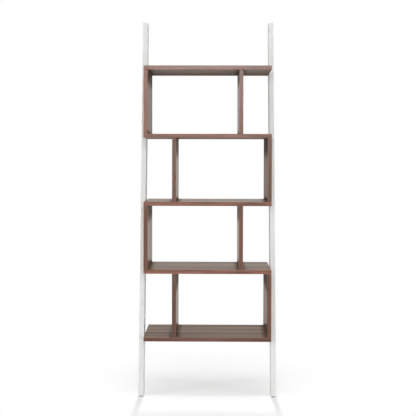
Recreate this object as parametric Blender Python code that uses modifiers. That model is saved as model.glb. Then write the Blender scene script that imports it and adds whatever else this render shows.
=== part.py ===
# Leaning bookcase. Five walnut shelves and the boards between them make a zigzag run of
# four open bays. It hangs between two white lacquered rails, which stand on the floor at
# the front and lean back until their tops meet the wall.
# Metres, +Z up, front towards -Y. The origin is on the floor, at the middle of the box.

import math

import bmesh
import bpy

# Boards of the shelf run
shelf_count = 5
shelf_width = 0.600
shelf_depth = 0.300
board_thickness = 0.019
clear_height = 0.300
floor_clearance = 0.261
nook_width = 0.1335
board_edge_radius = 0.0006
joint_gap = 0.0003

# Loose tongues between the upright boards and the shelves
tongue_length = 0.100
tongue_thickness = 0.004
tongue_height = 0.015
tongue_edge_chamfer = 0.0006

# Leaning rails, measured level where they lean
rail_thickness = 0.024
rail_depth = 0.0707
rail_above_top_shelf = 0.240
rail_edge_radius = 0.0015
wall_flat_height = 0.060
top_bolt_setback = 0.042

# Connector bolts through the rails, and the inserts in the shelf ends
bolt_head_radius = 0.0075
bolt_head_height = 0.0024
bolt_shank_radius = 0.003
bolt_engagement = 0.010
bolt_chamfer = 0.0005
socket_width = 0.004
socket_depth = 0.003
insert_radius = 0.005
insert_length = 0.013

# Glides under the rails and pads behind their tops
glide_thickness = 0.003
glide_inset = 0.002
glide_edge_radius = 0.0010
pad_thickness = 0.002
pad_inset = 0.003
pad_edge_radius = 0.0005

# Wall bracket on the top shelf, and its screws
bracket_width = 0.040
bracket_height = 0.030
bracket_thickness = 0.002
bracket_bend_radius = 0.002
bracket_seat = 0.028
wall_hole_radius = 0.00275
screw_head_radius = 0.0035
screw_head_height = 0.002
screw_shank_radius = 0.00175
screw_shank_length = 0.014
screw_tip_length = 0.003
screw_spacing = 0.020

# Fineness of round shapes, and the limits for welding, flat faces and smooth shading
turn_steps = 24
arc_steps = 4
edge_segments = 2
hexagon_sides = 6
weld_distance = 0.00001
flat_angle = math.radians(1)
smooth_angle = math.radians(30)

# How far a cutter runs past what it cuts
cut_overrun = 0.002

# Colour, roughness and metallic value of each finish
finishes = {
    "walnut_veneer": ((0.250, 0.165, 0.125), 0.45, 0.0),
    "white_lacquer": ((0.740, 0.740, 0.720), 0.15, 0.0),
    "polished_steel": ((0.600, 0.590, 0.570), 0.25, 1.0),
    "zinc_plated_steel": ((0.480, 0.480, 0.470), 0.40, 1.0),
    "beech": ((0.560, 0.400, 0.250), 0.60, 0.0),
    "dark_plastic": ((0.045, 0.045, 0.045), 0.55, 0.0),
    "grey_rubber": ((0.160, 0.160, 0.160), 0.80, 0.0),
}

# Sizes that follow from those above
shelf_pitch = board_thickness + clear_height
panel_height = clear_height - 2 * joint_gap
top_shelf_middle = floor_clearance + (shelf_count - 1) * shelf_pitch + board_thickness / 2
lean_slope = (shelf_depth - top_bolt_setback - rail_depth / 2) / top_shelf_middle
rail_bottom = glide_thickness + joint_gap
rail_top = top_shelf_middle + board_thickness / 2 + rail_above_top_shelf
rail_centre = shelf_width / 2 + joint_gap + rail_thickness / 2
wall_flat_offset = rail_depth + lean_slope * (rail_top - wall_flat_height)
wall_offset = wall_flat_offset + joint_gap + pad_thickness
bolt_length = rail_thickness + joint_gap + bolt_engagement
quarter_turn = math.radians(90)
side_on = (quarter_turn, 0, quarter_turn)


def shelf_bottom(level):
    return floor_clearance + (level - 1) * shelf_pitch


def shelf_middle(level):
    return shelf_bottom(level) + board_thickness / 2


def shelf_top(level):
    return shelf_bottom(level) + board_thickness


def closed_side(bay):
    # The end panel is on the right of the odd bays and on the left of the even ones
    return 1 if bay % 2 else -1


def world_y(offset):
    # An offset is counted backwards from the plane of the shelves' front edges
    return offset - wall_offset / 2


def rail_front(height):
    return lean_slope * height


def bolt_offset(level):
    return rail_front(shelf_middle(level)) + rail_depth / 2


def new_collection(name):
    collection = bpy.data.collections.new(name)
    bpy.context.scene.collection.children.link(collection)
    return collection


def new_material(name, colour, roughness, metallic):
    material = bpy.data.materials.new(name)
    material.use_nodes = True
    shader = material.node_tree.nodes["Principled BSDF"]
    shader.inputs["Base Color"].default_value = (*colour, 1)
    shader.inputs["Roughness"].default_value = roughness
    shader.inputs["Metallic"].default_value = metallic
    return material


def box_mesh(name, size):
    mesh = bpy.data.meshes.new(name)
    shape = bmesh.new()
    bmesh.ops.create_cube(shape, size=1)
    bmesh.ops.scale(shape, vec=size, verts=shape.verts)
    shape.to_mesh(mesh)
    shape.free()
    return mesh


def prism_mesh(name, radius, length, sides):
    mesh = bpy.data.meshes.new(name)
    shape = bmesh.new()
    bmesh.ops.create_cone(
        shape, cap_ends=True, segments=sides, radius1=radius, radius2=radius, depth=length)
    shape.to_mesh(mesh)
    shape.free()
    return mesh


def evaluated_mesh(source, name):
    bpy.context.view_layer.update()
    graph = bpy.context.evaluated_depsgraph_get()
    mesh = bpy.data.meshes.new_from_object(source.evaluated_get(graph))
    mesh.name = name
    return mesh


def turned_mesh(name, profile, closed=False):
    # The profile is (radius, height) points that run down the outer side
    mesh = bpy.data.meshes.new(name)
    shape = bmesh.new()
    corners = [shape.verts.new((radius, 0, height)) for radius, height in profile]
    for start, end in zip(corners, corners[1:]):
        shape.edges.new((start, end))
    if closed:
        shape.edges.new((corners[-1], corners[0]))
    shape.to_mesh(mesh)
    shape.free()
    lathe = bpy.data.objects.new(name, mesh)
    bpy.context.scene.collection.objects.link(lathe)
    screw = lathe.modifiers.new("Turn", "SCREW")
    screw.steps = turn_steps
    screw.render_steps = turn_steps
    screw.use_merge_vertices = True
    screw.merge_threshold = weld_distance
    turned = evaluated_mesh(lathe, name)
    bpy.data.objects.remove(lathe)
    turned.shade_smooth()
    turned.set_sharp_from_angle(angle=smooth_angle)
    return turned


def outline_mesh(name, points, thickness):
    # A flat outline of (offset, height) points, as thick as the piece is wide
    curve = bpy.data.curves.new(name, "CURVE")
    curve.dimensions = "2D"
    curve.fill_mode = "BOTH"
    curve.extrude = thickness / 2
    line = curve.splines.new("POLY")
    line.points.add(len(points) - 1)
    for corner, (offset, height) in zip(line.points, points):
        corner.co = (offset, height, 0, 1)
    line.use_cyclic_u = True
    plate = bpy.data.objects.new(name, curve)
    bpy.context.scene.collection.objects.link(plate)
    mesh = evaluated_mesh(plate, name)
    bpy.data.objects.remove(plate)
    shape = bmesh.new()
    shape.from_mesh(mesh)
    bmesh.ops.remove_doubles(shape, verts=shape.verts, dist=weld_distance)
    bmesh.ops.dissolve_limit(shape, angle_limit=flat_angle, verts=shape.verts, edges=shape.edges)
    bmesh.ops.recalc_face_normals(shape, faces=shape.faces)
    shape.to_mesh(mesh)
    shape.free()
    return mesh


def arc_points(centre, radius, start, end):
    angles = [start + (end - start) * step / arc_steps for step in range(arc_steps + 1)]
    return [
        (centre[0] + radius * math.cos(angle), centre[1] + radius * math.sin(angle))
        for angle in angles
    ]


def add_object(name, mesh, collection, location, rotation=(0, 0, 0)):
    thing = bpy.data.objects.new(name, mesh)
    thing.location = location
    thing.rotation_euler = rotation
    thing.parent = stand
    collection.objects.link(thing)
    return thing


def add_part(name, mesh, finish, location, rotation=(0, 0, 0)):
    part = add_object(name, mesh, parts, location, rotation)
    if not mesh.materials:
        mesh.materials.append(materials[finish])
    return part


def add_cutter(name, mesh, location, rotation=(0, 0, 0)):
    cutter = add_object(name, mesh, cutters, location, rotation)
    cutter.hide_render = True
    cutter.display_type = "WIRE"
    return cutter


def round_edges(part, radius, segments=edge_segments):
    bevel = part.modifiers.new("Rounded edges", "BEVEL")
    bevel.width = radius
    bevel.segments = segments
    bevel.limit_method = "ANGLE"


def cut(part, cutter):
    hole = part.modifiers.new(cutter.name, "BOOLEAN")
    hole.operation = "DIFFERENCE"
    hole.object = cutter


def build_shelves():
    shelves = {}
    for level in range(1, shelf_count + 1):
        name = f"shelf_{level}"
        mesh = box_mesh(name, (shelf_width, shelf_depth, board_thickness))
        place = (0, world_y(shelf_depth / 2), shelf_middle(level))
        shelves[level] = add_part(name, mesh, "walnut_veneer", place)
        round_edges(shelves[level], board_edge_radius)
    return shelves


def build_uprights():
    # Each bay has an end panel flush with the shelf ends and a divider near its open end
    uprights = {}
    for bay in range(1, shelf_count):
        side = closed_side(bay)
        middle = shelf_top(bay) + clear_height / 2
        places = {
            "end_panel": side * (shelf_width / 2 - board_thickness / 2),
            "divider": -side * (shelf_width / 2 - nook_width - board_thickness / 2),
        }
        for kind, across in places.items():
            name = f"bay_{bay}_{kind}"
            mesh = box_mesh(name, (board_thickness, shelf_depth, panel_height))
            place = (across, world_y(shelf_depth / 2), middle)
            board = add_part(name, mesh, "walnut_veneer", place)
            round_edges(board, board_edge_radius)
            uprights[bay, kind] = board
    return uprights


def tongue_offset(kind, level):
    # A tongue in an end panel lies on the longer side of the insert in the shelf's end
    if kind == "divider":
        return shelf_depth / 2
    front_end = bolt_offset(level) - insert_radius
    back_start = bolt_offset(level) + insert_radius
    if front_end > shelf_depth - back_start:
        return front_end / 2
    return (back_start + shelf_depth) / 2


def build_tongues(shelves, uprights):
    size = (tongue_thickness, tongue_length, tongue_height)
    tongue_mesh = box_mesh("tongue", size)
    pocket_mesh = box_mesh("tongue_pocket", [length + 2 * joint_gap for length in size])
    for (bay, kind), board in uprights.items():
        joints = {"bottom": (bay, shelf_top(bay)), "top": (bay + 1, shelf_bottom(bay + 1))}
        for end, (level, face) in joints.items():
            into_bay = joint_gap / 2 if end == "bottom" else -joint_gap / 2
            place = (board.location.x, world_y(tongue_offset(kind, level)), face + into_bay)
            name = f"tongue_bay_{bay}_{kind}_{end}"
            tongue = add_part(name, tongue_mesh, "beech", place)
            round_edges(tongue, tongue_edge_chamfer, segments=1)
            pocket = add_cutter(f"{name}_pocket", pocket_mesh, place)
            cut(board, pocket)
            cut(shelves[level], pocket)


def rail_outline():
    # The back edge turns upright near the top, where it lies flat against the wall
    return [
        (rail_front(rail_bottom), rail_bottom),
        (rail_front(rail_bottom) + rail_depth, rail_bottom),
        (wall_flat_offset, rail_top - wall_flat_height),
        (wall_flat_offset, rail_top),
        (rail_front(rail_top), rail_top),
    ]


def build_rails():
    rails = {}
    for hand, side in (("left", -1), ("right", 1)):
        name = f"rail_{hand}"
        mesh = outline_mesh(name, rail_outline(), rail_thickness)
        place = (side * rail_centre, world_y(0), 0)
        rails[hand] = add_part(name, mesh, "white_lacquer", place, side_on)
        round_edges(rails[hand], rail_edge_radius)
    return rails


def bolt_mesh():
    tip = -bolt_length
    profile = [
        (0, 0),
        (bolt_head_radius - bolt_chamfer, 0),
        (bolt_head_radius, -bolt_chamfer),
        (bolt_head_radius, -bolt_head_height),
        (bolt_shank_radius, -bolt_head_height),
        (bolt_shank_radius, tip + bolt_chamfer),
        (bolt_shank_radius - bolt_chamfer, tip),
        (0, tip),
    ]
    blank = add_object("bolt_blank", turned_mesh("bolt_blank", profile), cutters, (0, 0, 0))
    socket_radius = socket_width / 2 / math.cos(math.pi / hexagon_sides)
    socket_length = socket_depth + cut_overrun
    hexagon = prism_mesh("bolt_socket", socket_radius, socket_length, hexagon_sides)
    socket = add_object("bolt_socket", hexagon, cutters, (0, 0, cut_overrun - socket_length / 2))
    cut(blank, socket)
    mesh = evaluated_mesh(blank, "connector_bolt")
    bpy.data.objects.remove(blank)
    bpy.data.objects.remove(socket)
    return mesh


def bolt_hole_mesh():
    # One stepped cutter: a seat for the head, a hole through the rail, a hole for the insert
    head_hole = bolt_head_radius + joint_gap
    seat = -bolt_head_height - joint_gap
    shank_hole = bolt_shank_radius + joint_gap
    between = -rail_thickness - joint_gap / 2
    insert_hole = insert_radius + joint_gap
    bottom = -rail_thickness - 2 * joint_gap - insert_length
    profile = [
        (0, cut_overrun),
        (head_hole, cut_overrun),
        (head_hole, seat),
        (shank_hole, seat),
        (shank_hole, between),
        (insert_hole, between),
        (insert_hole, bottom),
        (0, bottom),
    ]
    return turned_mesh("bolt_hole", profile)


def insert_mesh():
    bore = bolt_shank_radius + joint_gap
    profile = [
        (bore, 0),
        (insert_radius, 0),
        (insert_radius, -insert_length),
        (bore, -insert_length),
    ]
    return turned_mesh("threaded_insert", profile, closed=True)


def build_bolts(shelves, rails):
    bolt, hole, insert = bolt_mesh(), bolt_hole_mesh(), insert_mesh()
    for hand, side in (("left", -1), ("right", 1)):
        outwards = (0, side * quarter_turn, 0)
        for level, shelf in shelves.items():
            crossing = (world_y(bolt_offset(level)), shelf_middle(level))
            head_place = (side * (rail_centre + rail_thickness / 2), *crossing)
            insert_place = (side * shelf_width / 2, *crossing)
            add_part(f"connector_bolt_{hand}_{level}", bolt, "polished_steel", head_place, outwards)
            add_part(
                f"threaded_insert_{hand}_{level}", insert, "zinc_plated_steel", insert_place, outwards)
            cutter = add_cutter(f"bolt_hole_{hand}_{level}", hole, head_place, outwards)
            cut(rails[hand], cutter)
            cut(shelf, cutter)


def build_glides_and_pads():
    glide_size = (rail_thickness - 2 * glide_inset, rail_depth - 2 * glide_inset, glide_thickness)
    glide_place = (world_y(rail_front(rail_bottom) + rail_depth / 2), glide_thickness / 2)
    pad_size = (rail_thickness - 2 * pad_inset, pad_thickness, wall_flat_height - 2 * pad_inset)
    pad_place = (world_y(wall_offset - pad_thickness / 2), rail_top - wall_flat_height / 2)
    for hand, side in (("left", -1), ("right", 1)):
        across = side * rail_centre
        name = f"floor_glide_{hand}"
        glide = add_part(name, box_mesh(name, glide_size), "dark_plastic", (across, *glide_place))
        round_edges(glide, glide_edge_radius)
        name = f"wall_pad_{hand}"
        pad = add_part(name, box_mesh(name, pad_size), "grey_rubber", (across, *pad_place))
        round_edges(pad, pad_edge_radius)


def bracket_outline(foot):
    outer_radius = bracket_bend_radius + bracket_thickness
    outer_centre = (wall_offset - outer_radius, foot + outer_radius)
    front_end = shelf_depth - bracket_seat
    head = foot + bracket_height
    return [
        (front_end, foot),
        *arc_points(outer_centre, outer_radius, -quarter_turn, 0),
        (wall_offset, head),
        (wall_offset - bracket_thickness, head),
        *arc_points(outer_centre, bracket_bend_radius, 0, -quarter_turn),
        (front_end, foot + bracket_thickness),
    ]


def screw_mesh():
    dome = arc_points((0, 0), 1, quarter_turn, 0)
    head = [(across * screw_head_radius, up * screw_head_height) for across, up in dome]
    profile = [
        *head,
        (screw_shank_radius, 0),
        (screw_shank_radius, screw_tip_length - screw_shank_length),
        (0, -screw_shank_length),
    ]
    return turned_mesh("bracket_screw", profile)


def screw_hole_mesh():
    # From above the bracket down to the bottom of the hole in the shelf
    hole = screw_shank_radius + joint_gap
    depth = screw_shank_length + joint_gap
    profile = [(0, cut_overrun), (hole, cut_overrun), (hole, -depth), (0, -depth)]
    return turned_mesh("screw_hole", profile)


def build_wall_bracket(top_shelf):
    foot = shelf_top(shelf_count) + joint_gap
    mesh = outline_mesh("wall_bracket", bracket_outline(foot), bracket_width)
    bracket = add_part("wall_bracket", mesh, "zinc_plated_steel", (0, world_y(0), 0), side_on)

    bend_height = bracket_thickness + bracket_bend_radius
    wall_hole_height = foot + (bend_height + bracket_height) / 2
    hole_length = bracket_thickness + 2 * cut_overrun
    hole_place = (0, world_y(wall_offset - bracket_thickness / 2), wall_hole_height)
    hole_mesh = prism_mesh("wall_hole", wall_hole_radius, hole_length, turn_steps)
    cut(bracket, add_cutter("wall_hole", hole_mesh, hole_place, (quarter_turn, 0, 0)))

    screw, hole = screw_mesh(), screw_hole_mesh()
    seat_height = foot + bracket_thickness + joint_gap
    seat_y = world_y(shelf_depth - bracket_seat / 2)
    for hand, side in (("left", -1), ("right", 1)):
        place = (side * screw_spacing / 2, seat_y, seat_height)
        add_part(f"bracket_screw_{hand}", screw, "zinc_plated_steel", place)
        cutter = add_cutter(f"screw_hole_{hand}", hole, place)
        cut(bracket, cutter)
        cut(top_shelf, cutter)


for thing in list(bpy.data.objects):
    bpy.data.objects.remove(thing)

parts = new_collection("leaning_bookcase")
cutters = new_collection("cutters")
materials = {name: new_material(name, *look) for name, look in finishes.items()}
stand = bpy.data.objects.new("bookcase_origin", None)
parts.objects.link(stand)

shelf_run = build_shelves()
upright_boards = build_uprights()
build_tongues(shelf_run, upright_boards)
leaning_rails = build_rails()
build_bolts(shelf_run, leaning_rails)
build_glides_and_pads()
build_wall_bracket(shelf_run[shelf_count])
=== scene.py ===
# Leaning bookcase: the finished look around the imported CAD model.
# Metres, +Z up, front towards -Y, the same frame as the CAD.

import math

import bmesh
import bpy
from mathutils import Matrix, Vector


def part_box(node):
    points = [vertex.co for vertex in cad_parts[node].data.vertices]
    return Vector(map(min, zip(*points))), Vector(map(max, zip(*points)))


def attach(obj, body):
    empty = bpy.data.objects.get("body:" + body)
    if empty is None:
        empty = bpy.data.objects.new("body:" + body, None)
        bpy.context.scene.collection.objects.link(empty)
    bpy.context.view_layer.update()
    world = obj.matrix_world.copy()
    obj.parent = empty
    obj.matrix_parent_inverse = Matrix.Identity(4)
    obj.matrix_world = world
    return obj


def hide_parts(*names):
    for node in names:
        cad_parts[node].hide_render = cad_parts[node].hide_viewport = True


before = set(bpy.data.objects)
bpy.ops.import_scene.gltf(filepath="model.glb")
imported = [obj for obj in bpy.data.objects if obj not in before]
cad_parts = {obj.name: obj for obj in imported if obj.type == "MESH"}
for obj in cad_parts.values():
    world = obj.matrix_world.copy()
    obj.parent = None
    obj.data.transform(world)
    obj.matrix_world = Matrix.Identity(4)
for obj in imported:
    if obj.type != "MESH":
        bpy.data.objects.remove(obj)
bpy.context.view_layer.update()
print("frame loaded,", len(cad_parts), "nodes")

hands = {"left": -1, "right": 1}           # and which way each side faces along X
levels = range(1, 6)                       # shelf 1 is the lowest
bays = range(1, 5)
uprights = {"end_panel": "EndPanel", "divider": "Divider"}       # in CAD names and in piece names
xAxis, yAxis, zAxis = range(3)
tiny = 0.00001                             # a point this near a plane is on it
weld = tiny / 10                           # points this near each other are one point
faceOn = 0.99                              # a face looks a way if more of its normal than this points there
creaseAngle = 0.5                          # radians; a sharper corner is an edge


class Wire:
    # One shader socket. Arithmetic on it adds Math nodes to the same material.
    def __init__(self, tree, socket=None):
        self.tree = tree
        self.socket = socket

    def node(self, kind, settings, sockets, output=0):
        made = self.tree.nodes.new(kind)
        for name, value in settings.items():
            setattr(made, name, value)
        for key, value in sockets.items():
            target = made.inputs[key]
            if isinstance(value, Wire):
                self.tree.links.new(value.socket, target)
            elif target.type == "RGBA":
                target.default_value = (*value, 1)
            else:
                target.default_value = value
        return Wire(self.tree, made.outputs[output])

    def arithmetic(self, operation, first, second):
        return self.node("ShaderNodeMath", {"operation": operation}, {0: first, 1: second})

    def __add__(self, other):
        return self.arithmetic("ADD", self, other)

    def __radd__(self, other):
        return self.arithmetic("ADD", other, self)

    def __sub__(self, other):
        return self.arithmetic("SUBTRACT", self, other)

    def __rsub__(self, other):
        return self.arithmetic("SUBTRACT", other, self)

    def __mul__(self, other):
        return self.arithmetic("MULTIPLY", self, other)

    def __rmul__(self, other):
        return self.arithmetic("MULTIPLY", other, self)

    def highest(self, other):
        return self.arithmetic("MAXIMUM", self, other)

    def spread(self, low, high, newLow=0.0, newHigh=1.0):
        # Maps low..high to newLow..newHigh, and holds it there
        values = {"Value": self, "From Min": low, "From Max": high, "To Min": newLow, "To Max": newHigh}
        return self.node("ShaderNodeMapRange", {"clamp": True}, values)

    def stretch(self, scale, shift=(0, 0, 0)):
        return self.node("ShaderNodeMapping", {}, {"Vector": self, "Scale": scale, "Location": shift})

    def noise(self, scale, detail=2.0, roughness=0.5, distortion=0.0):
        values = {"Vector": self, "Scale": scale, "Detail": detail,
                  "Roughness": roughness, "Distortion": distortion}
        return self.node("ShaderNodeTexNoise", {}, values)

    def mix(self, first, second):
        # This wire is the factor between two colours
        return self.node("ShaderNodeMix", {"data_type": "RGBA"}, {0: self, 6: first, 7: second}, output=2)


def newMaterial(name):
    material = bpy.data.materials.new(name)
    material.use_nodes = True
    return material, Wire(material.node_tree)


def finishMaterial(material, colour, roughness, height, relief, plain):
    # The values in plain are the same all over and go straight onto the shader's sockets
    tree = material.node_tree
    shader = tree.nodes["Principled BSDF"]
    bump = height.node("ShaderNodeBump", {}, {"Height": height, "Strength": 1.0, "Distance": relief})
    tree.links.new(colour.socket, shader.inputs["Base Color"])
    tree.links.new(roughness.socket, shader.inputs["Roughness"])
    tree.links.new(bump.socket, shader.inputs["Normal"])
    for name, value in plain.items():
        shader.inputs[name].default_value = value
    return material


# Scales are per metre, along and across the grain; a shift moves a pattern away from the others
grainLook = {
    "ringScale": 0.55,                     # along the grain only
    "ringWobble": 9.0,
    "fibreScale": (11, 700),
    "fleckScale": (70, 2400),
    "fleckShift": (3.1, 1.7),
    "blushShift": (5.3, 2.9),
    "boardScale": (0.11, 0.11),            # so broad that it only tells one board from the next
    "boardShift": (9.7, 4.1),
}
veneerLook = {
    "dark": (0.112, 0.064, 0.035),
    "light": (0.402, 0.250, 0.141),
    "red": (0.345, 0.184, 0.096),
    "pore": (0.066, 0.038, 0.020),
    "worn": (0.330, 0.215, 0.155),
    # The colour that painted shade darkens the wood towards
    "shaded": (0.050, 0.036, 0.029),
    "redShare": 0.42,
    "figureScale": (0.9, 18),              # broad streaks
    "blushScale": (1.6, 7),
    "ringSpacing": 0.0065,
    "roughness": 0.30,
    "paintedShadeDepth": 0.58,                     # how far painted shade, and the dullness that goes with it, darken the wood towards the shaded colour
    "dullRoughness": 0.28,
    "relief": 0.00010,
    "plain": {"Specular IOR Level": 0.045},
}
edgeBandLook = {
    "dark": (0.108, 0.042, 0.025),
    "light": (0.262, 0.117, 0.076),
    "red": (0.240, 0.086, 0.050),
    "pore": (0.050, 0.020, 0.011),
    "worn": (0.330, 0.180, 0.120),
    "shaded": (0.050, 0.020, 0.011),
    "redShare": 0.5,
    "figureScale": (4.5, 80),
    "blushScale": (5, 20),
    "ringSpacing": 0.0045,
    "roughness": 0.42,
    "paintedShadeDepth": 0.0,
    "dullRoughness": 0.0,
    "relief": 0.00010,
    "plain": {"Specular IOR Level": 0.25, "Coat Weight": 0.5, "Coat Roughness": 0.30},
}


def walnutMaterial(name, look):
    # The grain map runs along the grain in its first direction and across it in its second
    material, wire = newMaterial(name)
    grain = wire.node("ShaderNodeUVMap", {"uv_map": "grain"}, {})
    wear = wire.node("ShaderNodeAttribute", {"attribute_name": "wear"}, {}, output=2)
    toneAndShade = wire.node("ShaderNodeAttribute", {"attribute_name": "toneAndShade"}, {}, output=2)
    dullAndShade = wire.node("ShaderNodeAttribute", {"attribute_name": "dullAndShade"}, {}, output=2)
    figure = grain.stretch((*look["figureScale"], 1)).noise(1, 3, 0.55, 0.4)
    ringTurns = math.tau / 20 / look["ringSpacing"]              # the wave node repeats every tau / 20
    rings = wire.node(
        "ShaderNodeTexWave", {"wave_type": "BANDS", "bands_direction": "Y", "wave_profile": "SAW"},
        {"Vector": grain.stretch((grainLook["ringScale"], ringTurns, 1)), "Scale": 1.0,
         "Distortion": grainLook["ringWobble"], "Detail": 2.0, "Detail Scale": 0.35,
         "Detail Roughness": 0.5}, output=1)
    fibre = grain.stretch((*grainLook["fibreScale"], 1)).noise(1, 4, 0.62)
    fleck = grain.stretch((*grainLook["fleckScale"], 1), (*grainLook["fleckShift"], 0)).noise(1, 1, 0.5)
    blush = grain.stretch((*look["blushScale"], 1), (*grainLook["blushShift"], 0)).noise(1, 2, 0.5)
    board = grain.stretch((*grainLook["boardScale"], 1), (*grainLook["boardShift"], 0)).noise(1, 0)

    shade = (figure.spread(0.385, 0.615) * 0.90 + rings * 0.10 + fibre.spread(0.25, 0.75) * 0.20 - 0.10
             + board.spread(0.3, 0.7, -0.08, 0.08))
    base = shade.mix(look["dark"], look["light"])
    blushed = (blush.spread(0.35, 0.70) * look["redShare"]).mix(base, look["red"])
    # Each face's lightness multiplies the colour; on the shelves' veneer it is painted shade, darker towards
    # the bottom
    warm = wire.node("ShaderNodeMix", {"data_type": "RGBA", "blend_type": "MULTIPLY"},
                     {0: 1.0, 6: blushed, 7: toneAndShade}, output=2)
    pores = fleck.spread(0.60, 0.70) * fibre.spread(0.60, 0.35)
    pored = (pores * 0.75).mix(warm, look["pore"])
    rub = wear * blush.spread(0.30, 0.65) * fibre.spread(0.20, 0.60) * 0.45
    handled = rub.mix(pored, look["worn"])
    # The mask carries painted shade (under the shelves, in the inner corners, on the undersides, at the tops'
    # fronts) and dullness; here it darkens the wood towards the shaded colour, and below it makes it rougher
    colour = (dullAndShade * look["paintedShadeDepth"]).mix(handled, look["shaded"])
    roughness = (fibre.spread(0.2, 0.8, look["roughness"] - 0.05, look["roughness"] + 0.06)
                 + pores * 0.12 + dullAndShade * look["dullRoughness"])
    height = fibre * 0.35 + rings * 0.10 - pores * 0.55
    return finishMaterial(material, colour, roughness, height, look["relief"], look["plain"])


lacquerLook = {
    "colour": (0.790, 0.794, 0.780),
    "shade": (0.772, 0.776, 0.764),
    "worn": (0.670, 0.658, 0.630),
    "peelScale": 420,
    "strokeScale": (260, 260, 5),          # faint spray and sanding lines
    "cloudScale": (9, 9, 2.2),
    "chipScale": 190,
    "roughness": 0.34,
    "relief": 0.00001,
    "plain": {"Specular IOR Level": 0.28},
}


def lacquerMaterial(name, look):
    material, wire = newMaterial(name)
    place = wire.node("ShaderNodeTexCoord", {}, {}, output=3)
    wear = wire.node("ShaderNodeAttribute", {"attribute_name": "wear"}, {}, output=2)
    peel = place.noise(look["peelScale"], 2, 0.45)
    strokes = place.stretch(look["strokeScale"]).noise(1, 3, 0.6)
    clouds = place.stretch(look["cloudScale"]).noise(1, 2, 0.5)
    chips = place.noise(look["chipScale"], 3, 0.6)
    base = (clouds.spread(0.3, 0.7) * 0.7 + strokes.spread(0.3, 0.7) * 0.3).mix(look["shade"], look["colour"])
    rub = wear * chips.spread(0.52, 0.66) * clouds.spread(0.40, 0.62) * 0.30
    colour = rub.mix(base, look["worn"])
    roughness = strokes.spread(0.2, 0.8, look["roughness"] - 0.03, look["roughness"] + 0.05) + rub * 0.2
    height = peel * 0.6 + strokes * 0.25
    return finishMaterial(material, colour, roughness, height, look["relief"], look["plain"])


steelLook = {
    "colour": (0.62, 0.61, 0.59),
    "shade": (0.48, 0.47, 0.455),
    "markScale": (9000, 0.6, 1),           # fine rings that the lathe left
    "smudgeScale": 240,
    "roughness": 0.24,
    "relief": 0.00003,
    "plain": {"Metallic": 1.0},
}


def turnedSteelMaterial(name, look):
    # The lathe map's first direction is the way along the turned profile, so its marks are rings
    material, wire = newMaterial(name)
    lathe = wire.node("ShaderNodeUVMap", {"uv_map": "lathe"}, {})
    place = wire.node("ShaderNodeTexCoord", {}, {}, output=3)
    marks = lathe.stretch(look["markScale"]).noise(1, 3, 0.6)
    smudge = place.noise(look["smudgeScale"], 3, 0.55)
    colour = (marks.spread(0.3, 0.7) * 0.6 + smudge * 0.4).mix(look["shade"], look["colour"])
    roughness = smudge.spread(0.25, 0.75, look["roughness"] - 0.06, look["roughness"] + 0.12)
    height = marks * 0.7 + smudge * 0.3
    return finishMaterial(material, colour, roughness, height, look["relief"], look["plain"])


zincLook = {
    "light": (0.56, 0.565, 0.575),
    "dark": (0.40, 0.405, 0.41),
    "tint": (0.52, 0.49, 0.42),
    "spangleScale": 520.0,
    "cloudScale": 85,
    "rolledScale": (60, 900, 900),         # fine lines along the rolled sheet
    "roughness": 0.36,
    "relief": 0.00001,
    "plain": {"Metallic": 1.0},
}


def zincMaterial(name, look):
    material, wire = newMaterial(name)
    place = wire.node("ShaderNodeTexCoord", {}, {}, output=3)
    spangle = wire.node("ShaderNodeTexVoronoi", {"feature": "F1"},
                        {"Vector": place, "Scale": look["spangleScale"], "Randomness": 1.0})
    clouds = place.noise(look["cloudScale"], 3, 0.6)
    rolled = place.stretch(look["rolledScale"]).noise(1, 2, 0.5)
    base = (spangle.spread(0.0, 0.9) * 0.35 + rolled.spread(0.3, 0.7) * 0.65).mix(look["dark"], look["light"])
    colour = (clouds.spread(0.50, 0.72) * 0.5).mix(base, look["tint"])
    roughness = clouds.spread(0.3, 0.7, look["roughness"] - 0.06, look["roughness"] + 0.10)
    height = rolled * 0.6 + spangle * 0.4
    return finishMaterial(material, colour, roughness, height, look["relief"], look["plain"])


beechLook = {
    "light": (0.62, 0.44, 0.28),
    "dark": (0.47, 0.31, 0.185),
    "fleck": (0.33, 0.19, 0.10),
    "fibreScale": (700, 18, 700),
    "bandScale": (90, 4, 90),
    "rayScale": (1500, 150, 1500),
    "roughness": 0.62,
    "relief": 0.00010,
    "plain": {"IOR": 1.45},
}


def beechMaterial(name, look):
    # The tongues' grain runs from front to back
    material, wire = newMaterial(name)
    place = wire.node("ShaderNodeTexCoord", {}, {}, output=3)
    fibre = place.stretch(look["fibreScale"]).noise(1, 3, 0.6)
    bands = place.stretch(look["bandScale"]).noise(1, 2, 0.5, 0.3)
    rays = place.stretch(look["rayScale"]).noise(1, 1, 0.5)
    base = (bands.spread(0.3, 0.7) * 0.6 + fibre.spread(0.3, 0.7) * 0.4).mix(look["dark"], look["light"])
    flecks = rays.spread(0.62, 0.72)
    colour = (flecks * 0.6).mix(base, look["fleck"])
    roughness = fibre.spread(0.2, 0.8, look["roughness"] - 0.05, look["roughness"] + 0.07)
    height = fibre * 0.7 - flecks * 0.3
    return finishMaterial(material, colour, roughness, height, look["relief"], look["plain"])


plasticLook = {
    "light": (0.060, 0.060, 0.061),
    "dark": (0.032, 0.032, 0.033),
    "pebbleScale": 1500.0,
    "dustScale": 140,
    "roughness": 0.52,
    "relief": 0.00008,
    "plain": {"IOR": 1.49},
}
rubberLook = {
    "light": (0.185, 0.184, 0.180),
    "dark": (0.118, 0.118, 0.117),
    "pebbleScale": 1500.0,
    "dustScale": 140,
    "roughness": 0.80,
    "relief": 0.00012,
    "plain": {"IOR": 1.45},
}


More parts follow.
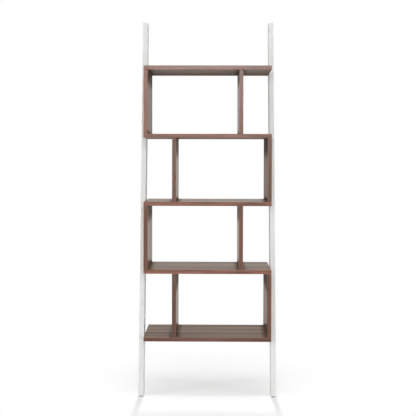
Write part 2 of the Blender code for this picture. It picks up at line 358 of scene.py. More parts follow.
def mouldedMaterial(name, look):
    # Fine spark-eroded grain, with dust and rubbing in it
    material, wire = newMaterial(name)
    place = wire.node("ShaderNodeTexCoord", {}, {}, output=3)
    wear = wire.node("ShaderNodeAttribute", {"attribute_name": "wear"}, {}, output=2)
    pebble = wire.node("ShaderNodeTexVoronoi", {"feature": "SMOOTH_F1"},
                       {"Vector": place, "Scale": look["pebbleScale"], "Smoothness": 0.6})
    dust = place.noise(look["dustScale"], 4, 0.6)
    shade = dust.spread(0.3, 0.7) * 0.7 + pebble * 0.3
    colour = (shade + wear * 0.35).spread(0, 1.3).mix(look["dark"], look["light"])
    roughness = dust.spread(0.3, 0.7, look["roughness"] - 0.05, look["roughness"] + 0.08)
    return finishMaterial(material, colour, roughness, pebble + dust * 0.4, look["relief"], look["plain"])


veneer = walnutMaterial("walnutVeneer", veneerLook)
edgeBand = walnutMaterial("walnutEdgeBand", edgeBandLook)
lacquer = lacquerMaterial("whiteLacquer", lacquerLook)
turnedSteel = turnedSteelMaterial("turnedSteel", steelLook)
zinc = zincMaterial("zincPlate", zincLook)
beech = beechMaterial("bareBeech", beechLook)
darkPlastic = mouldedMaterial("darkPlastic", plasticLook)
greyRubber = mouldedMaterial("greyRubber", rubberLook)
print("finishes made")


def everything(shape):
    return shape.verts[:] + shape.edges[:] + shape.faces[:]


def onlyVerts(geometry):
    return [item for item in geometry if isinstance(item, bmesh.types.BMVert)]


def onlyFaces(geometry):
    return [item for item in geometry if isinstance(item, bmesh.types.BMFace)]


def withEdges(faces):
    # The operators that extrude take the old faces away only where their edges are given too
    return list(faces) + list({edge for face in faces for edge in face.edges})


def extrude(shape, faces, move):
    made = bmesh.ops.extrude_face_region(shape, geom=withEdges(faces))["geom"]
    bmesh.ops.translate(shape, verts=onlyVerts(made), vec=move)
    return made


def unit(axis, sign=1):
    return Vector([sign if index == axis else 0 for index in range(3)])


def thirdAxis(first, second):
    return xAxis + yAxis + zAxis - first - second


def cutAt(shape, point, normal):
    bmesh.ops.bisect_plane(shape, geom=everything(shape), dist=weld, plane_co=point, plane_no=normal)


def cutAcross(shape, axis, *places):
    for place in places:
        cutAt(shape, unit(axis) * place, unit(axis))


def cutAround(shape, axis, place, half):
    cutAcross(shape, axis, place - half, place + half)


def block(low, high):
    shape = bmesh.new()
    bmesh.ops.create_cube(shape, size=1)
    bmesh.ops.scale(shape, vec=high - low, verts=shape.verts)
    bmesh.ops.translate(shape, vec=(low + high) / 2, verts=shape.verts)
    return shape


def roundOff(shape, edges, radius, segments):
    made = bmesh.ops.bevel(
        shape, geom=edges, offset=radius, offset_type="OFFSET", segments=segments, profile=0.5,
        affect="EDGES", clamp_overlap=True, material=-1)
    for face in made["faces"]:
        face.smooth = True


def sharpEdges(shape, angle=creaseAngle):
    return [edge for edge in shape.edges if edge.is_manifold and edge.calc_face_angle() > angle]


def boxSides(low, high):
    sides = [(low, unit(axis, -1)) for axis in range(3)]
    return sides + [(high, unit(axis)) for axis in range(3)]


def holdEdges(shape, sides, width):
    # Lines a little inside each side, so that wear and rubbing stay near the edges
    for point, outwards in sides:
        cutAt(shape, point - outwards * width, outwards)


def markWear(shape, sides, radius):
    # A vertex near two sides at once is on a rounded edge, where wear shows
    layer = shape.verts.layers.float.new("wear")
    for vert in shape.verts:
        near = sum(abs((vert.co - point).dot(outwards)) < radius + tiny for point, outwards in sides)
        vert[layer] = 1.0 if near > 1 else 0.0


def faceUnder(shape, point, outwards):
    for face in shape.faces:
        level = abs((point - face.verts[0].co).dot(outwards)) < tiny
        if level and face.normal.dot(outwards) > faceOn and bmesh.geometry.intersect_face_point(face, point):
            return face
    raise ValueError(f"no face under {point}")


def drill(shape, mouth, outwards, steps, segments=32):
    # Opens a round hole in a face and follows (radius, depth) steps inwards; gives the last ring.
    # The face is cut into wedges that meet at the hole's middle, and that point is opened to a circle.
    wedges = [faceUnder(shape, mouth, outwards)]
    turned = outwards.to_track_quat("Z", "Y")
    for step in range(segments // 2):
        angle = math.tau * step / segments
        normal = turned @ Vector((math.cos(angle), math.sin(angle), 0))
        cell = list({item for face in wedges for item in (face, *face.edges, *face.verts)})
        made = bmesh.ops.bisect_plane(shape, geom=cell, dist=weld, plane_co=mouth, plane_no=normal)
        wedges = onlyFaces(made["geom"])
    hub = min({vert for face in wedges for vert in face.verts}, key=lambda vert: (vert.co - mouth).length)
    radius, depth = steps[0]
    opened = bmesh.ops.bevel(
        shape, geom=[hub], offset=radius, offset_type="OFFSET", segments=1, profile=0.5,
        affect="VERTICES", clamp_overlap=True, material=-1)["faces"]
    lid = max(opened, key=lambda face: len(face.verts))
    ring = lid.edges[:]
    bmesh.ops.delete(shape, geom=[lid], context="FACES_ONLY")
    for nextRadius, nextDepth in steps[1:]:
        made = bmesh.ops.extrude_edge_only(shape, edges=ring)["geom"]
        verts = onlyVerts(made)
        ring = [item for item in made if isinstance(item, bmesh.types.BMEdge)
                and all(vert in verts for vert in item.verts)]
        centre = mouth - outwards * depth
        for vert in verts:
            vert.co = centre + (vert.co - centre) * nextRadius / radius - outwards * (nextDepth - depth)
        for face in onlyFaces(made):
            face.smooth = nextDepth > depth
        radius, depth = nextRadius, nextDepth
    return ring


def drillBlind(shape, mouth, outwards, radius, depth, segments=32):
    ring = drill(shape, mouth, outwards, [(radius, 0), (radius, depth)], segments)
    bmesh.ops.contextual_create(shape, geom=ring)


def drillThrough(shape, mouth, axis, near, far, steps, segments=32):
    # The steps start at the near side, and the last one's radius goes on to the far side
    sign = 1 if near > far else -1
    farSteps = [(steps[-1][0], 0)]
    rings = []
    for place, outwards, cut in ((near, unit(axis, sign), steps), (far, unit(axis, -sign), farSteps)):
        mouth[axis] = place
        rings += drill(shape, mouth.copy(), outwards, cut, segments)
    bmesh.ops.bridge_loops(shape, edges=rings)


def sink(shape, middle, half, axis, sign, depth):
    # A square-cut pocket in the side that faces along the axis
    across = [other for other in range(3) if other != axis]
    for other in across:
        cutAcross(shape, other, middle[other] - half[other], middle[other] + half[other])
    bottom = []
    for face in shape.faces:
        offset = face.calc_center_bounds() - middle
        if face.normal[axis] * sign > faceOn and abs(offset[axis]) < tiny:
            if all(abs(offset[other]) < half[other] for other in across):
                bottom.append(face)
    extrude(shape, bottom, unit(axis, -sign) * depth)


def spinProfile(shape, profile, segments):
    # Turns a line of (radius, height) points about the upright axis
    verts = [shape.verts.new((radius, 0, height)) for radius, height in profile]
    edges = [shape.edges.new(pair) for pair in zip(verts, verts[1:])]
    bmesh.ops.spin(
        shape, geom=verts + edges, cent=(0, 0, 0), axis=(0, 0, 1), angle=math.tau, steps=segments,
        use_merge=True, use_normal_flip=False, use_duplicate=False)
    bmesh.ops.remove_doubles(shape, verts=shape.verts, dist=weld)
    for face in shape.faces:
        face.smooth = True


def mapLathe(shape):
    # First direction: the way along the profile, as radius and height together
    layer = shape.loops.layers.uv.new("lathe")
    for face in shape.faces:
        for loop in face.loops:
            place = loop.vert.co
            loop[layer].uv = (math.hypot(place.x, place.y) - place.z, math.atan2(place.y, place.x) / math.tau)


def addPiece(name, shape, finishes, node, sharpAngle=None):
    bmesh.ops.recalc_face_normals(shape, faces=shape.faces)
    mesh = bpy.data.meshes.new(name)
    shape.to_mesh(mesh)
    shape.free()
    if sharpAngle:
        mesh.set_sharp_from_angle(angle=sharpAngle)
    for finish in finishes:
        mesh.materials.append(finish)
    piece = bpy.data.objects.new(name, mesh)
    bpy.context.scene.collection.objects.link(piece)
    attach(piece, "root")
    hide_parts(node)


boardLook = {
    "edgeRadius": 0.0012,
    "edgeSegments": 3,
    "wearWidth": 0.0035,
    "insertHole": 0.0053,
    "insertDepth": 0.0135,
    "insertCell": 0.009,                   # half the width of the patch that each hole sits in
    "pocketGap": 0.0003,
    "screwHole": 0.0021,
    "screwDepth": 0.0125,
    "screwCell": (0.008, 0.010),           # half the sides of the patch around each bracket screw
    "screwSegments": 16,
    # How the painted shade under each shelf fades out down the uprights
    "headShadeFade": 0.040,
    "undersideShade": (0.25, 1.15),         # painted shade on the undersides, with rougher wood, at the front and at the back
    "frontShade": 0.09,                     # painted shade on the tops, darker and rougher at the front, from nothing at the back
    "openDull": 0.8,                       # on the top shelf's own top: rougher and darker all over
    # Painted shade, with rougher wood, where the uprights meet the shelves' tops and undersides
    "cornerShade": 0.8,
    "underCornerShade": 0.5,
    "cornerFade": 0.024,
    "footFade": 0.010,
    "leafStep": (0.731, 0.417),            # along and across the grain, from one board to the next
    "firstUprightLeaf": 10,                # the shelves have the leaves before it
    "sideStep": 0.23,                      # across the grain, from one pair of a board's sides to the next
    "farSideStep": 0.11,                   # and to the opposite side
}
# Moves a shelf to a place in the figure that is streaked like its top in the photo
shelfFigure = {"shelf_1": 11.151, "shelf_2": 6.195, "shelf_3": 5.369}
# For each bay: how far down from the shelf above the uprights carry painted shade, how far up their front the
# painted shade at their foot reaches (at the back it is a thin line), and how much rougher and darker the
# middle of the end panel is
bayLook = {
    1: {"headShadeReach": 0.061, "footShadeReach": 0.060, "panelDull": 0.20},
    2: {"headShadeReach": 0.050, "footShadeReach": 0.038, "panelDull": 0.0},
    3: {"headShadeReach": 0.060, "footShadeReach": 0.018, "panelDull": 0.40},
    4: {"headShadeReach": 0.040, "footShadeReach": 0.012, "panelDull": 0.20},
}
# How light each board's veneer and its edge band are; 1 is the finish's own colour. All values are set board
# by board to how light each board looks where it stands, so they carry painted shade, most plainly the
# shelves' veneer getting darker towards the bottom
boardTonesAndShade = {
    "shelf_1": (0.60, 0.62), "shelf_2": (0.70, 1.04), "shelf_3": (0.87, 0.98),
    "shelf_4": (0.95, 0.99), "shelf_5": (1.07, 0.86),
    "bay_1_end_panel": (0.93, 0.72), "bay_1_divider": (0.86, 0.50),
    "bay_2_end_panel": (0.88, 0.56), "bay_2_divider": (0.86, 0.62),
    "bay_3_end_panel": (0.87, 0.61), "bay_3_divider": (0.88, 0.59),
    "bay_4_end_panel": (0.94, 0.93), "bay_4_divider": (0.80, 0.75),
}


def mapGrain(shape, along, thick, start):
    # Grain runs the long way on faces and long edges, and across the board on its ends
    across = thirdAxis(along, thick)
    ways = {thick: (along, across), across: (along, thick), along: (across, thick)}
    layer = shape.loops.layers.uv.new("grain")
    for face in shape.faces:
        facing = max(range(3), key=lambda axis: abs(face.normal[axis]))
        first, second = ways[facing]
        side = facing * boardLook["sideStep"] + (boardLook["farSideStep"] if face.normal[facing] > 0 else 0)
        for loop in face.loops:
            place = loop.vert.co
            loop[layer].uv = (place[first] + start[0], place[second] + start[1] + side)


def startBoard(low, high, thick):
    # The broad faces take the veneer, and the rounded edges and narrow sides the edge band
    shape = block(low, high)
    roundOff(shape, shape.edges[:], boardLook["edgeRadius"], boardLook["edgeSegments"])
    for face in shape.faces:
        face.material_index = 0 if abs(face.normal[thick]) > faceOn else 1
    holdEdges(shape, boxSides(low, high), boardLook["wearWidth"])
    return shape


def cutTonguePocket(shape, tongue, face, sign):
    # A tongue lies half in each board, so its pocket ends where the tongue does
    low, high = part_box(tongue)
    gap = boardLook["pocketGap"]
    middle = (low + high) / 2
    half = (high - low) / 2 + Vector((gap, gap, gap))
    depth = face - (low.z - gap) if sign > 0 else high.z + gap - face
    middle.z = face
    sink(shape, middle, half, zAxis, sign, depth)


def fadeOut(distance, reach, fade):
    return min(max(1 - (distance - reach) / fade, 0), 1)


def uprightSides(bay):
    # Where the sides of a bay's uprights meet its shelves, inside the shelves' ends
    panelLow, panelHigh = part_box(f"bay_{bay}_end_panel")
    dividerLow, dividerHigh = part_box(f"bay_{bay}_divider")
    return [dividerLow.x, dividerHigh.x, panelHigh.x if panelHigh.x < 0 else panelLow.x]


def cornerShare(place, corners):
    # 1 in a corner, down to 0 where the fade ends
    near = min([abs(place - corner) for corner in corners], default=math.inf)
    return fadeOut(near, 0, boardLook["cornerFade"])


def markShelfDullAndShade(shape, level, low, high):
    # Painted shade with rougher wood: on the underside, darker towards the back; in the inner corners where
    # the uprights stand; and at the front of each top. The top shelf's own top is made rougher and darker all
    # over
    fade = boardLook["cornerFade"]
    above = uprightSides(level) if level < len(levels) else []
    below = uprightSides(level - 1) if level > 1 else []
    for place in above + below:
        cutAcross(shape, xAxis, place - fade, place, place + fade)
    layer = shape.verts.layers.float.new("dullAndShade")
    for vert in shape.verts:
        if vert.co.z < low.z + tiny:
            front, back = boardLook["undersideShade"]
            vert[layer] = (front + (back - front) * (vert.co.y - low.y) / (high.y - low.y)
                           + cornerShare(vert.co.x, below) * boardLook["underCornerShade"])
        elif vert.co.z > high.z - tiny:
            forward = (high.y - vert.co.y) / (high.y - low.y)
            vert[layer] = max(cornerShare(vert.co.x, above) * boardLook["cornerShade"],
                              forward * boardLook["frontShade"])
            if level == len(levels):
                vert[layer] = boardLook["openDull"]


def markUprightDullAndShade(shape, low, high, reach, foot, middle):
    # Painted shade with rougher wood on the upright faces just below the shelf above, and at their front just
    # above the shelf below; the middle value makes the whole face rougher and darker
    fade = boardLook["headShadeFade"]
    cutAcross(shape, zAxis, high.z - reach, high.z - reach - fade)
    slope = foot / (high.y - low.y)
    across = Vector((0, slope, 1)).normalized()
    for height in (foot, foot + boardLook["footFade"]):
        cutAt(shape, Vector((0, low.y, low.z + height)), across)
    layer = shape.verts.layers.float.new("dullAndShade")
    for vert in shape.verts:
        above = vert.co.z - low.z - foot + slope * (vert.co.y - low.y)
        ends = max(fadeOut(high.z - vert.co.z, reach, fade), fadeOut(above, 0, boardLook["footFade"]))
        vert[layer] = ends + middle


def finishBoard(shape, name, node, low, high, along, thick, leaf):
    markWear(shape, boxSides(low, high), boardLook["edgeRadius"])
    layer = shape.faces.layers.float.new("toneAndShade")
    # Each face's lightness, which on the shelves' veneer is painted shade
    for face in shape.faces:
        face[layer] = boardTonesAndShade[node][face.material_index]
    alongStep, acrossStep = boardLook["leafStep"]
    mapGrain(shape, along, thick, (leaf * alongStep, leaf * acrossStep + shelfFigure.get(node, 0)))
    addPiece(name, shape, [veneer, edgeBand], node)


def buildShelf(level):
    node = f"shelf_{level}"
    low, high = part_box(node)
    shape = startBoard(low, high, zAxis)
    for hand, side in hands.items():
        boltLow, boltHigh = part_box(f"threaded_insert_{hand}_{level}")
        mouth = (boltLow + boltHigh) / 2
        mouth.x = high.x if side > 0 else low.x
        cutAround(shape, yAxis, mouth.y, boardLook["insertCell"])
        drillBlind(shape, mouth, unit(xAxis, side), boardLook["insertHole"], boardLook["insertDepth"])
    for kind in uprights:
        if level < len(levels):
            cutTonguePocket(shape, f"tongue_bay_{level}_{kind}_bottom", high.z, 1)
        if level > 1:
            cutTonguePocket(shape, f"tongue_bay_{level - 1}_{kind}_top", low.z, -1)
    if level == len(levels):
        halfAlong, halfAcross = boardLook["screwCell"]
        for hand in hands:
            screwLow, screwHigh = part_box(f"bracket_screw_{hand}")
            mouth = (screwLow + screwHigh) / 2
            mouth.z = high.z
            cutAround(shape, xAxis, mouth.x, halfAlong)
            cutAround(shape, yAxis, mouth.y, halfAcross)
            drillBlind(shape, mouth, unit(zAxis), boardLook["screwHole"], boardLook["screwDepth"],
                       boardLook["screwSegments"])
    markShelfDullAndShade(shape, level, low, high)
    finishBoard(shape, f"shelf{level}", node, low, high, xAxis, zAxis, level)


def buildUpright(bay, kind):
    node = f"bay_{bay}_{kind}"
    low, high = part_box(node)
    shape = startBoard(low, high, xAxis)
    cutTonguePocket(shape, f"tongue_{node}_bottom", low.z, -1)
    cutTonguePocket(shape, f"tongue_{node}_top", high.z, 1)
    look = bayLook[bay]
    middle = look["panelDull"] if kind == "end_panel" else 0
    markUprightDullAndShade(shape, low, high, look["headShadeReach"], look["footShadeReach"], middle)
    leaf = boardLook["firstUprightLeaf"] + bay * len(uprights) + list(uprights).index(kind)
    finishBoard(shape, f"bay{bay}{uprights[kind]}", node, low, high, zAxis, xAxis, leaf)


for level in levels:
    buildShelf(level)
for bay in bays:
    for kind in uprights:
        buildUpright(bay, kind)
print("boards built")


railLook = {
    "depth": 0.0707,                       # measured level
    "flatHeight": 0.060,                   # the upright back that meets the wall
    "edgeRadius": 0.0011,
    "edgeSegments": 4,
    "wearWidth": 0.0035,
    "boltCell": 0.017,                     # half the height of the patch around each bolt
    "seatRadius": 0.0078,
    "seatDepth": 0.0027,
    "seatChamfer": 0.0003,
    "holeRadius": 0.0033,
}


def buildRail(hand, side):
    node = f"rail_{hand}"
    low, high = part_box(node)
    bendHeight = high.z - railLook["flatHeight"]
    slope = (high.y - railLook["depth"] - low.y) / (bendHeight - low.z)
    topFront = low.y + slope * (high.z - low.z)
    outline = [(low.y, low.z), (low.y + railLook["depth"], low.z), (high.y, bendHeight),
               (high.y, high.z), (topFront, high.z)]
    shape = bmesh.new()
    profile = shape.faces.new([shape.verts.new((low.x, y, z)) for y, z in outline])
    extrude(shape, [profile], (high.x - low.x, 0, 0))
    bmesh.ops.recalc_face_normals(shape, faces=shape.faces)
    roundOff(shape, sharpEdges(shape), railLook["edgeRadius"], railLook["edgeSegments"])

    leanFront = Vector((0, -1, slope)).normalized()
    backFoot = Vector((0, low.y + railLook["depth"], low.z))
    sides = boxSides(low, high)[:1] + [(low, unit(zAxis, -1)), (high, unit(xAxis)), (high, unit(yAxis)),
                                        (high, unit(zAxis)), (low, leanFront), (backFoot, -leanFront)]
    holdEdges(shape, sides, railLook["wearWidth"])

    outer, inner = (high.x, low.x) if side > 0 else (low.x, high.x)
    seat, deep, chamfer = railLook["seatRadius"], railLook["seatDepth"], railLook["seatChamfer"]
    steps = [(seat + chamfer, 0), (seat, chamfer), (seat, deep), (railLook["holeRadius"], deep)]
    for level in levels:
        boltLow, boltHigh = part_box(f"connector_bolt_{hand}_{level}")
        mouth = (boltLow + boltHigh) / 2
        cutAround(shape, zAxis, mouth.z, railLook["boltCell"])
        drillThrough(shape, mouth, xAxis, outer, inner, steps)
    markWear(shape, sides, railLook["edgeRadius"])
    addPiece("rail" + hand.title(), shape, [lacquer], node)


for hand, side in hands.items():
    buildRail(hand, side)
print("rails built")


boltLook = {
    "headRadius": 0.0075,
    "headHeight": 0.0024,
    "headRound": 0.0007,
    "roundTurns": (0, 0.39, 0.785, 1.18, 1.571),       # where the rounded rim has its points, in radians
    "underChamfer": 0.0002,
    "shankRadius": 0.0030,
    "tipChamfer": 0.0006,
    "socketRadius": 0.00231,               # to the hexagon's corners
    "socketRim": 0.0029,
    "socketLead": 0.0003,                  # how far the rim slopes down to the hexagon
    "socketDepth": 0.0030,
    "segments": 48,
}


def buildBolt(hand, side, level):
    node = f"connector_bolt_{hand}_{level}"
    low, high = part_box(node)
    length = high.x - low.x
    head, shank, chamfer = boltLook["headRadius"], boltLook["shankRadius"], boltLook["tipChamfer"]
    curve, height, under = boltLook["headRound"], boltLook["headHeight"], boltLook["underChamfer"]
    corner = [(head - curve * (1 - math.sin(turn)), -curve * (1 - math.cos(turn)))
              for turn in boltLook["roundTurns"]]
    shape = bmesh.new()
    spinProfile(shape, [
        (boltLook["socketRim"], 0), *corner, (head, under - height), (head - under, -height),
        (shank, -height), (shank, chamfer - length), (shank - chamfer, -length), (0, -length)],
        boltLook["segments"])

    # The hexagon socket: its corners are joined to the rim, and its walls go down to a flat bottom
    rim = [edge for edge in shape.edges if edge.is_boundary]
    lead = boltLook["socketLead"]
    hexagon = bmesh.ops.create_circle(
        shape, segments=6, radius=boltLook["socketRadius"], matrix=Matrix.Translation((0, 0, -lead)))["verts"]
    sides = list({edge for vert in hexagon for edge in vert.link_edges})
    bmesh.ops.subdivide_edges(shape, edges=sides, cuts=boltLook["segments"] // len(sides) - 1)
    sides = [edge for edge in shape.edges if edge.is_wire]
    bmesh.ops.bridge_loops(shape, edges=rim + sides)
    bottom = onlyVerts(bmesh.ops.extrude_edge_only(shape, edges=sides)["geom"])
    bmesh.ops.translate(shape, verts=bottom, vec=(0, 0, lead - boltLook["socketDepth"]))
    bmesh.ops.contextual_create(shape, geom=[edge for edge in shape.edges if edge.is_boundary])

    mapLathe(shape)
    outer = Vector((high.x if side > 0 else low.x, (low.y + high.y) / 2, (low.z + high.z) / 2))
    turn = unit(xAxis, side).to_track_quat("Z", "Y").to_matrix().to_4x4()
    bmesh.ops.transform(shape, matrix=Matrix.Translation(outer) @ turn, verts=shape.verts)
    addPiece(f"bolt{hand.title()}{level}", shape, [turnedSteel], node, creaseAngle)


for hand, side in hands.items():
    for level in levels:
        buildBolt(hand, side, level)
print("bolts built")


glideLook = {
    "edgeRadius": 0.0010,
    "edgeSegments": 3,
    "grooves": 5,
    "grooveDepth": 0.0006,
    "grooveShare": 0.28,                   # of the way from one groove to the next
    "endMargin": 0.0018,                   # from the grooves' ends to the sides
}
padLook = {
    "edgeRadius": 0.0005,
    "edgeSegments": 3,
    "grooves": 7,
    "grooveDepth": 0.0005,
    "grooveShare": 0.28,
    "endMargin": 0.0012,
}


def buildRibbedPad(name, node, look, facing, sign, along, finish):
    # A rounded slab with grooves across the side that bears on the floor or the wall
    low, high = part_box(node)
    shape = block(low, high)
    roundOff(shape, shape.edges[:], look["edgeRadius"], look["edgeSegments"])
    across = thirdAxis(facing, along)
    pitch = (high[along] - low[along]) / (look["grooves"] + 1)
    middle = (low + high) / 2
    middle[facing] = high[facing] if sign > 0 else low[facing]
    half = Vector((0, 0, 0))
    half[along] = pitch * look["grooveShare"] / 2
    half[across] = (high[across] - low[across]) / 2 - look["endMargin"]
    for groove in range(look["grooves"]):
        middle[along] = low[along] + pitch * (groove + 1)
        sink(shape, middle, half, facing, sign, look["grooveDepth"])
    markWear(shape, boxSides(low, high), look["edgeRadius"])
    addPiece(name, shape, [finish], node)


for hand in hands:
    buildRibbedPad("glide" + hand.title(), f"floor_glide_{hand}", glideLook, zAxis, -1, yAxis,
                   darkPlastic)
    buildRibbedPad("wallPad" + hand.title(), f"wall_pad_{hand}", padLook, yAxis, 1, zAxis,
                   greyRubber)
print("glides and pads built")


bracketLook = {
    "thickness": 0.002,
    "bendRadius": 0.002,                   # inside the bend
    "bendSteps": 8,
    "cornerRadius": 0.004,
    "cornerSegments": 6,
    "edgeRadius": 0.0003,
    "edgeSegments": 2,
    "edgeAngle": 1.0,                      # only sharper edges are rounded, not the facets of the bend
    "wallHole": 0.00275,
    "wallCell": (0.0046, 0.006),           # half the sides of the patch around the wall screw's hole
    "countersink": 0.0006,
    "screwHole": 0.00205,
    "screwCell": (0.0052, 0.006),
    "screwSegments": 24,
}
screwLook = {
    "headRadius": 0.0035,
    "headHeight": 0.0020,
    "domeRadii": (0.0022, 0.0026, 0.0029, 0.0032, 0.0034),       # where the domed head has its rings
    "recessRadius": 0.0017,
    "recessDepth": 0.0013,
    "crossShare": 0.92,                    # of the recess's radius that each arm reaches
    "crossTaper": 0.62,                    # the cross's size at its bottom
    "shankRadius": 0.00175,
    "tipLength": 0.003,
    "segments": 36,
}


def buildBracket():
    node = "wall_bracket"
    low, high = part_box(node)
    thick, bend = bracketLook["thickness"], bracketLook["bendRadius"]
    centre = Vector((0, high.y - thick - bend, low.z + thick + bend))
    shape = bmesh.new()
    # The foot's front end, drawn back to the bend, swung up through it and drawn up the leg
    ends = [(low.x, low.y, low.z), (high.x, low.y, low.z),
            (high.x, low.y, low.z + thick), (low.x, low.y, low.z + thick)]
    front = shape.faces.new([shape.verts.new(end) for end in ends])
    atBend = onlyFaces(extrude(shape, [front], (0, centre.y - low.y, 0)))
    spun = bmesh.ops.spin(
        shape, geom=withEdges(atBend), cent=centre, axis=(1, 0, 0), angle=math.pi / 2,
        steps=bracketLook["bendSteps"], use_merge=False, use_normal_flip=False, use_duplicate=False)
    extrude(shape, onlyFaces(spun["geom_last"]), (0, 0, high.z - centre.z))
    bmesh.ops.remove_doubles(shape, verts=shape.verts, dist=weld)
    bmesh.ops.recalc_face_normals(shape, faces=shape.faces)

    corners = [edge for edge in shape.edges if abs(edge.calc_length() - thick) < tiny
               and (max(vert.co.y for vert in edge.verts) < low.y + tiny
                    or min(vert.co.z for vert in edge.verts) > high.z - tiny)]
    roundOff(shape, corners, bracketLook["cornerRadius"], bracketLook["cornerSegments"])
    edges = sharpEdges(shape, bracketLook["edgeAngle"])
    roundOff(shape, edges, bracketLook["edgeRadius"], bracketLook["edgeSegments"])

    mouth = Vector((0, high.y, (centre.z + high.z) / 2))
    halfWidth, halfHeight = bracketLook["wallCell"]
    cutAround(shape, xAxis, mouth.x, halfWidth)
    cutAround(shape, zAxis, mouth.z, halfHeight)
    hole, countersink = bracketLook["wallHole"], bracketLook["countersink"]
    steps = [(hole + countersink, 0), (hole, countersink)]
    drillThrough(shape, mouth, yAxis, high.y - thick, high.y, steps)
    halfWidth, halfLength = bracketLook["screwCell"]
    for hand in hands:
        screwLow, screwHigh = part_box(f"bracket_screw_{hand}")
        mouth = (screwLow + screwHigh) / 2
        cutAround(shape, yAxis, mouth.y, halfLength)
        cutAround(shape, xAxis, mouth.x, halfWidth)
        steps = [(bracketLook["screwHole"], 0)]
        drillThrough(shape, mouth, zAxis, low.z + thick, low.z, steps, bracketLook["screwSegments"])
    addPiece("wallBracket", shape, [zinc], node, creaseAngle)


def buildBracketScrew(hand):
    node = f"bracket_screw_{hand}"
    low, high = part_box(node)
    head, dome = screwLook["headRadius"], screwLook["headHeight"]
    recess, shank = screwLook["recessRadius"], screwLook["shankRadius"]
    seat = high.z - dome
    length = seat - low.z
    radii = [recess, *screwLook["domeRadii"], head]
    profile = [(radius, dome * math.sqrt(1 - (radius / head) ** 2)) for radius in radii]
    rimHeight = profile[0][1]
    shape = bmesh.new()
    spinProfile(shape, [*profile, (shank, 0), (shank, screwLook["tipLength"] - length), (0, -length)],
                screwLook["segments"])
    # The cross recess: a nine-square grid without its corners, pressed in and drawn together
    rim = [edge for edge in shape.edges if edge.is_boundary]
    reach = recess * screwLook["crossShare"]
    grid = bmesh.ops.create_grid(
        shape, x_segments=3, y_segments=3, size=reach, matrix=Matrix.Translation((0, 0, rimHeight)))["verts"]
    third = reach / 3
    cornerFaces = [face for face in {face for vert in grid for face in vert.link_faces}
                   if min(abs(face.calc_center_median().x), abs(face.calc_center_median().y)) > third]
    bmesh.ops.delete(shape, geom=cornerFaces, context="FACES")
    cross = [face for face in shape.faces if abs(face.calc_center_median().z - rimHeight) < tiny
             and all(math.hypot(vert.co.x, vert.co.y) < recess - tiny for vert in face.verts)]
    outline = [edge for edge in {edge for face in cross for edge in face.edges} if edge.is_boundary]
    bmesh.ops.bridge_loops(shape, edges=rim + outline)
    bottom = onlyVerts(extrude(shape, cross, (0, 0, -screwLook["recessDepth"])))
    taper = screwLook["crossTaper"]
    bmesh.ops.scale(shape, vec=(taper, taper, 1), verts=bottom)
    mapLathe(shape)
    place = Vector(((low.x + high.x) / 2, (low.y + high.y) / 2, seat))
    bmesh.ops.translate(shape, vec=place, verts=shape.verts)
    addPiece(f"bracketScrew{hand.title()}", shape, [zinc], node, creaseAngle)


buildBracket()
for hand in hands:
    buildBracketScrew(hand)
print("bracket built")


# These pieces keep their CAD shape
for start, finish in {"tongue": beech, "threaded_insert": zinc}.items():
    for name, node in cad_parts.items():
        if name.startswith(start):
            node.data.materials.clear()
            node.data.materials.append(finish)
print("tongues and inserts finished")


stageLook = {
    "floorSize": 16.0,
    "floorSquares": 8,                     # along each side
    "floorColour": (0.45, 0.45, 0.45),     # what the floor gives back to the bookcase
    "floorSeen": (0.80, 0.80, 0.80),       # the part of the white floor that a shadow can darken
    "floorGlow": 0.205,                    # the rest of it
    "fadeFrom": 0.28,                      # from here the shadow part fades to plain white
    "fadeTo": 0.90,
    "worldSeen": 1.0,
    "skyLow": 0.0,                         # light from level with the bookcase
    "skyHigh": 0.28,                       # light from straight above
}
lamps = {
    "frontStrip": {"place": (0, -4.4, 2.15), "aim": (0, 0, 0.7), "size": (1.4, 0.5),
                   "power": 57, "mirrored": True},
    "lowLeft": {"place": (-2.6, -3.6, 0.85), "aim": (0, 0, 0.6), "size": (1.2, 1.2),
                "power": 30, "mirrored": True},
    "lowRight": {"place": (2.6, -3.6, 0.85), "aim": (0, 0, 0.6), "size": (1.2, 1.2),
                 "power": 30, "mirrored": True},
    "wideLeft": {"place": (-4.2, -2, 1.3), "aim": (0, 0, 0.7), "size": (1.4, 2.0),
                 "power": 56, "mirrored": True},
    "wideRight": {"place": (4.2, -2, 1.3), "aim": (0, 0, 0.7), "size": (1.4, 2.0),
                  "power": 56, "mirrored": True},
    "overhead": {"place": (0, -0.45, 7.0), "aim": (0, 0, 0), "size": (1.8, 1.6),
                 "power": 110, "mirrored": True},
    # Draws the shadows in front of the feet
    "back": {"place": (0, 12, 5.95), "aim": (0, 0, 0.3), "size": (1.2, 1.35),
             "power": 1450, "mirrored": False},
}
cameraLook = {
    "place": (0.0209, -3.9516, 1.1316),
    "pitchDown": math.radians(1.132),
    "yawRight": math.radians(-0.640),
    "roll": math.radians(0.105),
    "lens": 70.15,
    "sensor": 36.0,
    "imageCentre": (203.023, 172.367),     # pixels from the left and the top of the 416 pixel frame
    "frameSize": 416,
    "clipEnd": 60,
}


def seenDirectly(wire):
    # 1 for rays from the camera, mirrors and glass, which see the plain white ground
    path = wire.tree.nodes.new("ShaderNodeLightPath")
    camera, glossy, through = (Wire(wire.tree, path.outputs[name]) for name in (
        "Is Camera Ray", "Is Glossy Ray", "Is Transmission Ray"))
    return camera.highest(glossy).highest(through)


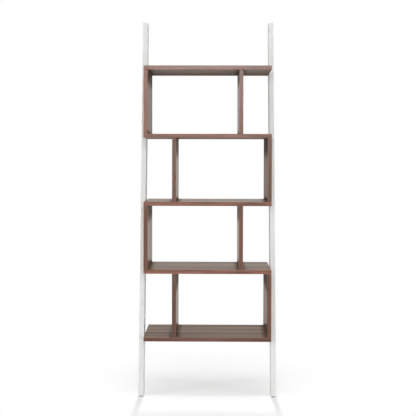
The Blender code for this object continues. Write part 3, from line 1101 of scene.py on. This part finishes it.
def buildFloor():
    material, wire = newMaterial("paleFloor")
    tree = material.node_tree
    tree.nodes.remove(tree.nodes["Principled BSDF"])
    plain = wire.node("ShaderNodeBsdfDiffuse", {}, {"Color": stageLook["floorColour"]})
    shadowed = wire.node("ShaderNodeBsdfDiffuse", {}, {"Color": stageLook["floorSeen"]})
    glow = wire.node("ShaderNodeEmission", {}, {"Color": (1, 1, 1), "Strength": stageLook["floorGlow"]})
    near = wire.node("ShaderNodeAddShader", {}, {0: shadowed, 1: glow})
    white = wire.node("ShaderNodeEmission", {}, {"Color": (1, 1, 1), "Strength": 1.0})
    place = wire.node("ShaderNodeTexCoord", {}, {}, output=3)
    distance = wire.node("ShaderNodeVectorMath", {"operation": "LENGTH"}, {0: place}, output=1)
    fade = distance.spread(stageLook["fadeFrom"], stageLook["fadeTo"])
    shown = wire.node("ShaderNodeMixShader", {}, {0: fade, 1: near, 2: white})
    result = wire.node("ShaderNodeMixShader", {}, {0: seenDirectly(wire), 1: plain, 2: shown})
    tree.links.new(result.socket, tree.nodes["Material Output"].inputs["Surface"])
    shape = bmesh.new()
    squares = stageLook["floorSquares"]
    bmesh.ops.create_grid(shape, x_segments=squares, y_segments=squares, size=stageLook["floorSize"] / 2)
    mesh = bpy.data.meshes.new("paleFloor")
    shape.to_mesh(mesh)
    shape.free()
    mesh.materials.append(material)
    floor = bpy.data.objects.new("paleFloor", mesh)
    bpy.context.scene.collection.objects.link(floor)


def buildWorld():
    world = bpy.data.worlds.new("paleStudio")
    bpy.context.scene.world = world
    world.use_nodes = True
    tree = world.node_tree
    tree.nodes.remove(tree.nodes["Background"])
    wire = Wire(tree)
    direction = wire.node("ShaderNodeTexCoord", {}, {})
    height = wire.node("ShaderNodeSeparateXYZ", {}, {0: direction}, output=2)
    strength = height.spread(0.0, 1.0, stageLook["skyLow"], stageLook["skyHigh"])
    light = wire.node("ShaderNodeBackground", {}, {"Color": (1, 1, 1), "Strength": strength})
    seen = wire.node("ShaderNodeBackground", {}, {"Color": (1, 1, 1), "Strength": stageLook["worldSeen"]})
    result = wire.node("ShaderNodeMixShader", {}, {0: seenDirectly(wire), 1: light, 2: seen})
    tree.links.new(result.socket, tree.nodes["World Output"].inputs["Surface"])


def buildLamp(name, look):
    light = bpy.data.lights.new(name, "AREA")
    light.shape = "RECTANGLE"
    light.size, light.size_y = look["size"]
    light.energy = look["power"]
    lamp = bpy.data.objects.new(name, light)
    place = Vector(look["place"])
    aim = Vector(look["aim"]) - place
    lamp.matrix_world = Matrix.Translation(place) @ aim.to_track_quat("-Z", "Y").to_matrix().to_4x4()
    lamp.visible_camera = False
    lamp.visible_glossy = look["mirrored"]
    bpy.context.scene.collection.objects.link(lamp)


def buildCamera():
    look = cameraLook
    data = bpy.data.cameras.new("photoCamera")
    data.lens = look["lens"]
    data.sensor_width = look["sensor"]
    middle = look["frameSize"] / 2
    data.shift_x = (middle - look["imageCentre"][0]) / look["frameSize"]
    data.shift_y = (look["imageCentre"][1] - middle) / look["frameSize"]
    data.clip_end = look["clipEnd"]
    pitch, yaw, roll = look["pitchDown"], look["yawRight"], look["roll"]
    forward = Vector((math.sin(yaw) * math.cos(pitch), math.cos(yaw) * math.cos(pitch), -math.sin(pitch)))
    level = Vector((math.cos(yaw), -math.sin(yaw), 0))
    upright = level.cross(forward)
    right = level * math.cos(roll) + upright * math.sin(roll)
    up = right.cross(forward)
    turn = Matrix((right, up, -forward)).transposed().to_4x4()
    camera = bpy.data.objects.new("photoCamera", data)
    camera.matrix_world = Matrix.Translation(look["place"]) @ turn
    bpy.context.scene.collection.objects.link(camera)
    bpy.context.scene.camera = camera


buildFloor()
buildWorld()
for name, look in lamps.items():
    buildLamp(name, look)
buildCamera()
bpy.context.scene.view_settings.view_transform = "Standard"
print("stage built")
